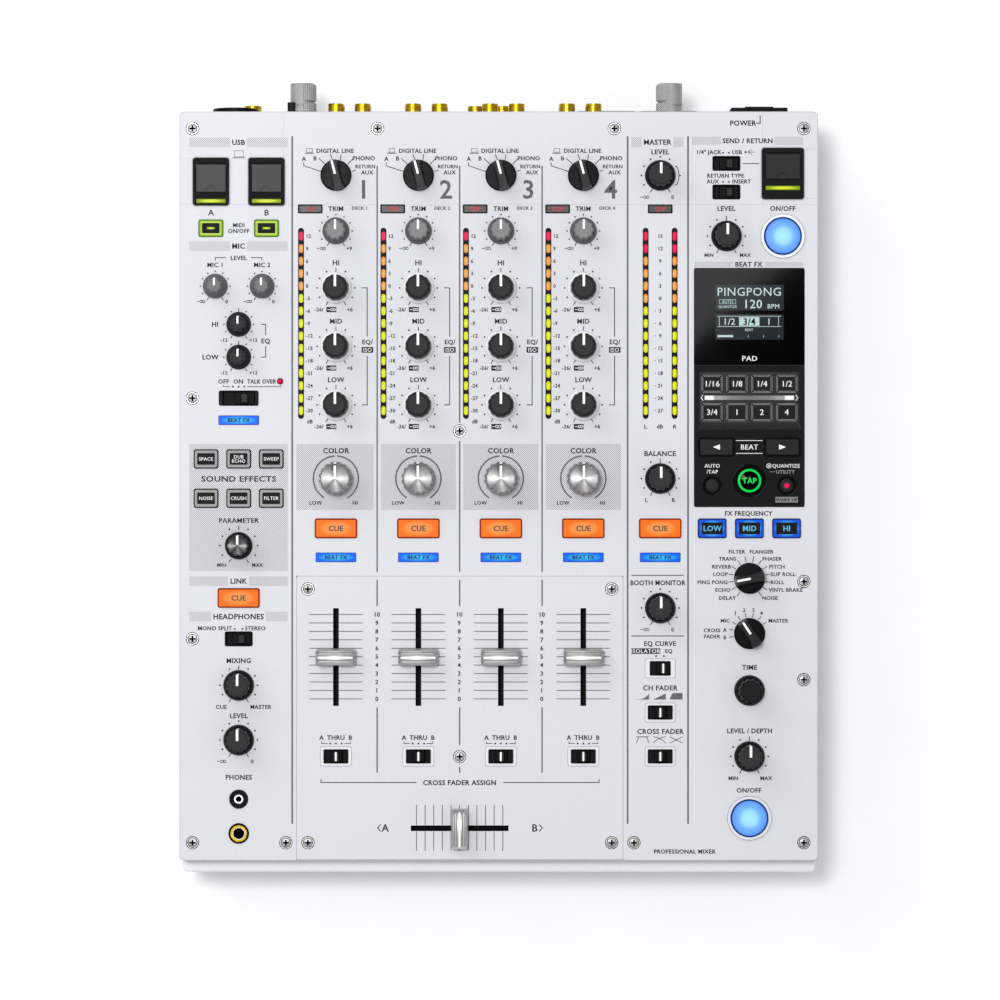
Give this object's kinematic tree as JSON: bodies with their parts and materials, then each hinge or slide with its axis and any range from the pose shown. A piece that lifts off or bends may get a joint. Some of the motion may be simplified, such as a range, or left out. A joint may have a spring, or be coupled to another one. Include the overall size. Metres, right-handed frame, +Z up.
{
  "type": "dj mixer",
  "caption": "White club DJ mixer: channel strips with rotary controls and level meters, vertical faders, a crossfader, an effects section with a touch pad, and rear audio sockets.",
  "frame": {"origin": "on the table, below the middle of the mixer's bounding box", "axes": "+X to the user's right, +Y to the rear sockets, +Z up"},
  "size_m": [0.333, 0.4142, 0.1079],
  "materials": {
    "white_panel": "satin with a fine sparkle",
    "white_chassis": "satin",
    "white_fascia": "satin",
    "foot_rubber": "matt",
    "screw_steel": "satin",
    "socket_plastic": "satin",
    "gloss_black": "gloss",
    "board_green": "satin",
    "component_grey": "matt",
    "lid_grey": "matt",
    "rocker_black": "satin",
    "button_plastic": "satin, lit from within",
    "slider_black": "matt",
    "fader_silver": "brushed",
    "knob_black": "satin",
    "knob_grey": "matt",
    "knob_silver": "spun"
  },
  "bodies": {
    "housing": {"bottom_chassis": "white_chassis", "top_panel": "white_panel", "fader_panel": "white_panel", "front_fascia": "white_fascia", "rubber_feet": "foot_rubber", "screws": "screw_steel", "sockets": "socket_plastic", "fx_panel": "gloss_black", "circuit_boards": "board_green", "panel_components": "component_grey"},
    "fader_1": {"fader_1": "fader_silver"},
    "fader_2": {"fader_2": "fader_silver"},
    "fader_3": {"fader_3": "fader_silver"},
    "fader_4": {"fader_4": "fader_silver"},
    "crossfader": {"crossfader": "fader_silver"},
    "usb_lids": {"usb_lids": "lid_grey"},
    "send_usb_lid": {"send_usb_lid": "lid_grey"},
    "power_rocker": {"power_rocker": "rocker_black"},
    "push_buttons": {"push_buttons": "button_plastic"},
    "three_way_switches": {"three_way_switches": "slider_black"},
    "two_way_switches": {"two_way_switches": "slider_black"},
    "knob_input_1": {"knob_input_1": "knob_black"},
    "knob_trim_1": {"knob_trim_1": "knob_grey"},
    "knob_high_1": {"knob_high_1": "knob_black"},
    "knob_mid_1": {"knob_mid_1": "knob_black"},
    "knob_low_1": {"knob_low_1": "knob_black"},
    "knob_filter_1": {"knob_filter_1": "knob_silver"},
    "knob_input_2": {"knob_input_2": "knob_black"},
    "knob_trim_2": {"knob_trim_2": "knob_grey"},
    "knob_high_2": {"knob_high_2": "knob_black"},
    "knob_mid_2": {"knob_mid_2": "knob_black"},
    "knob_low_2": {"knob_low_2": "knob_black"},
    "knob_filter_2": {"knob_filter_2": "knob_silver"},
    "knob_input_3": {"knob_input_3": "knob_black"},
    "knob_trim_3": {"knob_trim_3": "knob_grey"},
    "knob_high_3": {"knob_high_3": "knob_black"},
    "knob_mid_3": {"knob_mid_3": "knob_black"},
    "knob_low_3": {"knob_low_3": "knob_black"},
    "knob_filter_3": {"knob_filter_3": "knob_silver"},
    "knob_input_4": {"knob_input_4": "knob_black"},
    "knob_trim_4": {"knob_trim_4": "knob_grey"},
    "knob_high_4": {"knob_high_4": "knob_black"},
    "knob_mid_4": {"knob_mid_4": "knob_black"},
    "knob_low_4": {"knob_low_4": "knob_black"},
    "knob_filter_4": {"knob_filter_4": "knob_silver"},
    "knob_mic_1": {"knob_mic_1": "knob_grey"},
    "knob_mic_2": {"knob_mic_2": "knob_grey"},
    "knob_mic_high": {"knob_mic_high": "knob_grey"},
    "knob_mic_low": {"knob_mic_low": "knob_grey"},
    "knob_parameter": {"knob_parameter": "knob_black"},
    "knob_phones_mix": {"knob_phones_mix": "knob_black"},
    "knob_phones_level": {"knob_phones_level": "knob_black"},
    "knob_master_level": {"knob_master_level": "knob_black"},
    "knob_balance": {"knob_balance": "knob_black"},
    "knob_booth": {"knob_booth": "knob_black"},
    "knob_send_level": {"knob_send_level": "knob_black"},
    "knob_fx_select": {"knob_fx_select": "knob_black"},
    "knob_fx_channel": {"knob_fx_channel": "knob_black"},
    "knob_fx_time": {"knob_fx_time": "knob_black"},
    "knob_fx_depth": {"knob_fx_depth": "knob_black"}
  },
  "joints": [
    {"name": "buttons_press", "type": "slide", "parent": "housing", "child": "push_buttons", "axis": [0, 0, -1], "range_m": [0, 0.001], "stiffness_N_per_m": 900, "springref_m": -0.001},
    {"name": "cover_usb_computer", "type": "hinge", "parent": "housing", "child": "usb_lids", "pos_m": [-0.1356, 0.1626, 0.0888], "axis": [-1, 0, 0], "range_deg": [0, 100]},
    {"name": "cover_usb_send", "type": "hinge", "parent": "housing", "child": "send_usb_lid", "pos_m": [0.1481, 0.1682, 0.0888], "axis": [-1, 0, 0], "range_deg": [0, 100]},
    {"name": "crossfader_slide", "type": "slide", "parent": "housing", "child": "crossfader", "axis": [1, 0, 0], "range_m": [-0.0225, 0.0225]},
    {"name": "fader_1_slide", "type": "slide", "parent": "housing", "child": "fader_1", "axis": [0, 1, 0], "range_m": [-0.0225, 0.0225]},
    {"name": "fader_2_slide", "type": "slide", "parent": "housing", "child": "fader_2", "axis": [0, 1, 0], "range_m": [-0.0225, 0.0225]},
    {"name": "fader_3_slide", "type": "slide", "parent": "housing", "child": "fader_3", "axis": [0, 1, 0], "range_m": [-0.0225, 0.0225]},
    {"name": "fader_4_slide", "type": "slide", "parent": "housing", "child": "fader_4", "axis": [0, 1, 0], "range_m": [-0.0225, 0.0225]},
    {"name": "switches_three_way", "type": "slide", "parent": "housing", "child": "three_way_switches", "axis": [1, 0, 0], "range_m": [-0.003, 0.003]},
    {"name": "switches_two_way", "type": "slide", "parent": "housing", "child": "two_way_switches", "axis": [1, 0, 0], "range_m": [-0.003, 0]},
    {"name": "power_switch", "type": "hinge", "parent": "housing", "child": "power_rocker", "pos_m": [0.1364, 0.187, 0.068], "axis": [1, 0, 0], "range_deg": [0, 20]},
    {"name": "knob_filter_1_turn", "type": "hinge", "parent": "housing", "child": "knob_filter_1", "pos_m": [-0.0849, -0.0006, 0.089], "axis": [0, 0, 1], "range_deg": [-150, 150]},
    {"name": "knob_filter_2_turn", "type": "hinge", "parent": "housing", "child": "knob_filter_2", "pos_m": [-0.0419, -0.0006, 0.089], "axis": [0, 0, 1], "range_deg": [-150, 150]},
    {"name": "knob_filter_3_turn", "type": "hinge", "parent": "housing", "child": "knob_filter_3", "pos_m": [0.0011, -0.0006, 0.089], "axis": [0, 0, 1], "range_deg": [-150, 150]},
    {"name": "knob_filter_4_turn", "type": "hinge", "parent": "housing", "child": "knob_filter_4", "pos_m": [0.0441, -0.0006, 0.089], "axis": [0, 0, 1], "range_deg": [-150, 150]},
    {"name": "knob_input_1_turn", "type": "hinge", "parent": "housing", "child": "knob_input_1", "pos_m": [-0.0849, 0.1574, 0.089], "axis": [0, 0, 1], "range_deg": [-90, 60]},
    {"name": "knob_input_2_turn", "type": "hinge", "parent": "housing", "child": "knob_input_2", "pos_m": [-0.0419, 0.1574, 0.089], "axis": [0, 0, 1], "range_deg": [-90, 60]},
    {"name": "knob_input_3_turn", "type": "hinge", "parent": "housing", "child": "knob_input_3", "pos_m": [0.0011, 0.1574, 0.089], "axis": [0, 0, 1], "range_deg": [-90, 60]},
    {"name": "knob_input_4_turn", "type": "hinge", "parent": "housing", "child": "knob_input_4", "pos_m": [0.0441, 0.1574, 0.089], "axis": [0, 0, 1], "range_deg": [-90, 60]},
    {"name": "knob_high_1_turn", "type": "hinge", "parent": "housing", "child": "knob_high_1", "pos_m": [-0.0849, 0.0988, 0.089], "axis": [0, 0, 1], "range_deg": [-150, 150]},
    {"name": "knob_high_2_turn", "type": "hinge", "parent": "housing", "child": "knob_high_2", "pos_m": [-0.0419, 0.0988, 0.089], "axis": [0, 0, 1], "range_deg": [-150, 150]},
    {"name": "knob_high_3_turn", "type": "hinge", "parent": "housing", "child": "knob_high_3", "pos_m": [0.0011, 0.0988, 0.089], "axis": [0, 0, 1], "range_deg": [-150, 150]},
    {"name": "knob_high_4_turn", "type": "hinge", "parent": "housing", "child": "knob_high_4", "pos_m": [0.0441, 0.0988, 0.089], "axis": [0, 0, 1], "range_deg": [-150, 150]},
    {"name": "knob_mid_1_turn", "type": "hinge", "parent": "housing", "child": "knob_mid_1", "pos_m": [-0.0849, 0.0683, 0.089], "axis": [0, 0, 1], "range_deg": [-150, 150]},
    {"name": "knob_mid_2_turn", "type": "hinge", "parent": "housing", "child": "knob_mid_2", "pos_m": [-0.0419, 0.0683, 0.089], "axis": [0, 0, 1], "range_deg": [-150, 150]},
    {"name": "knob_mid_3_turn", "type": "hinge", "parent": "housing", "child": "knob_mid_3", "pos_m": [0.0011, 0.0683, 0.089], "axis": [0, 0, 1], "range_deg": [-150, 150]},
    {"name": "knob_mid_4_turn", "type": "hinge", "parent": "housing", "child": "knob_mid_4", "pos_m": [0.0441, 0.0683, 0.089], "axis": [0, 0, 1], "range_deg": [-150, 150]},
    {"name": "knob_low_1_turn", "type": "hinge", "parent": "housing", "child": "knob_low_1", "pos_m": [-0.0849, 0.0378, 0.089], "axis": [0, 0, 1], "range_deg": [-150, 150]},
    {"name": "knob_low_2_turn", "type": "hinge", "parent": "housing", "child": "knob_low_2", "pos_m": [-0.0419, 0.0378, 0.089], "axis": [0, 0, 1], "range_deg": [-150, 150]},
    {"name": "knob_low_3_turn", "type": "hinge", "parent": "housing", "child": "knob_low_3", "pos_m": [0.0011, 0.0378, 0.089], "axis": [0, 0, 1], "range_deg": [-150, 150]},
    {"name": "knob_low_4_turn", "type": "hinge", "parent": "housing", "child": "knob_low_4", "pos_m": [0.0441, 0.0378, 0.089], "axis": [0, 0, 1], "range_deg": [-150, 150]},
    {"name": "knob_trim_1_turn", "type": "hinge", "parent": "housing", "child": "knob_trim_1", "pos_m": [-0.0849, 0.1285, 0.089], "axis": [0, 0, 1], "range_deg": [-150, 150]},
    {"name": "knob_trim_2_turn", "type": "hinge", "parent": "housing", "child": "knob_trim_2", "pos_m": [-0.0419, 0.1285, 0.089], "axis": [0, 0, 1], "range_deg": [-150, 150]},
    {"name": "knob_trim_3_turn", "type": "hinge", "parent": "housing", "child": "knob_trim_3", "pos_m": [0.0011, 0.1285, 0.089], "axis": [0, 0, 1], "range_deg": [-150, 150]},
    {"name": "knob_trim_4_turn", "type": "hinge", "parent": "housing", "child": "knob_trim_4", "pos_m": [0.0441, 0.1285, 0.089], "axis": [0, 0, 1], "range_deg": [-150, 150]},
    {"name": "knob_mic_1_turn", "type": "hinge", "parent": "housing", "child": "knob_mic_1", "pos_m": [-0.1478, 0.0997, 0.089], "axis": [0, 0, 1], "range_deg": [-150, 150]},
    {"name": "knob_mic_2_turn", "type": "hinge", "parent": "housing", "child": "knob_mic_2", "pos_m": [-0.1234, 0.0997, 0.089], "axis": [0, 0, 1], "range_deg": [-150, 150]},
    {"name": "knob_mic_high_turn", "type": "hinge", "parent": "housing", "child": "knob_mic_high", "pos_m": [-0.1356, 0.0798, 0.089], "axis": [0, 0, 1], "range_deg": [-150, 150]},
    {"name": "knob_mic_low_turn", "type": "hinge", "parent": "housing", "child": "knob_mic_low", "pos_m": [-0.1356, 0.0627, 0.089], "axis": [0, 0, 1], "range_deg": [-150, 150]},
    {"name": "knob_parameter_turn", "type": "hinge", "parent": "housing", "child": "knob_parameter", "pos_m": [-0.1356, -0.0356, 0.089], "axis": [0, 0, 1], "range_deg": [-150, 150]},
    {"name": "knob_phones_mix_turn", "type": "hinge", "parent": "housing", "child": "knob_phones_mix", "pos_m": [-0.1356, -0.1084, 0.089], "axis": [0, 0, 1], "range_deg": [-150, 150]},
    {"name": "knob_phones_level_turn", "type": "hinge", "parent": "housing", "child": "knob_phones_level", "pos_m": [-0.1356, -0.1369, 0.089], "axis": [0, 0, 1], "range_deg": [-150, 150]},
    {"name": "knob_master_level_turn", "type": "hinge", "parent": "housing", "child": "knob_master_level", "pos_m": [0.0842, 0.1574, 0.089], "axis": [0, 0, 1], "range_deg": [-150, 150]},
    {"name": "knob_balance_turn", "type": "hinge", "parent": "housing", "child": "knob_balance", "pos_m": [0.0842, -0.0006, 0.089], "axis": [0, 0, 1], "range_deg": [-150, 150]},
    {"name": "knob_booth_turn", "type": "hinge", "parent": "housing", "child": "knob_booth", "pos_m": [0.0842, -0.0681, 0.089], "axis": [0, 0, 1], "range_deg": [-150, 150]},
    {"name": "knob_send_level_turn", "type": "hinge", "parent": "housing", "child": "knob_send_level", "pos_m": [0.1187, 0.1258, 0.089], "axis": [0, 0, 1], "range_deg": [-150, 150]},
    {"name": "knob_fx_select_turn", "type": "hinge", "parent": "housing", "child": "knob_fx_select", "pos_m": [0.1307, -0.0526, 0.089], "axis": [0, 0, 1], "range_deg": [-246.4, 44.8]},
    {"name": "knob_fx_channel_turn", "type": "hinge", "parent": "housing", "child": "knob_fx_channel", "pos_m": [0.1307, -0.0814, 0.089], "axis": [0, 0, 1], "range_deg": [-89.6, 67.2]},
    {"name": "knob_fx_time_turn", "type": "hinge", "parent": "housing", "child": "knob_fx_time", "pos_m": [0.1307, -0.1111, 0.089], "axis": [0, 0, 1], "continuous": true},
    {"name": "knob_fx_depth_turn", "type": "hinge", "parent": "housing", "child": "knob_fx_depth", "pos_m": [0.1307, -0.1455, 0.089], "axis": [0, 0, 1], "range_deg": [-150, 150]}
  ]
}
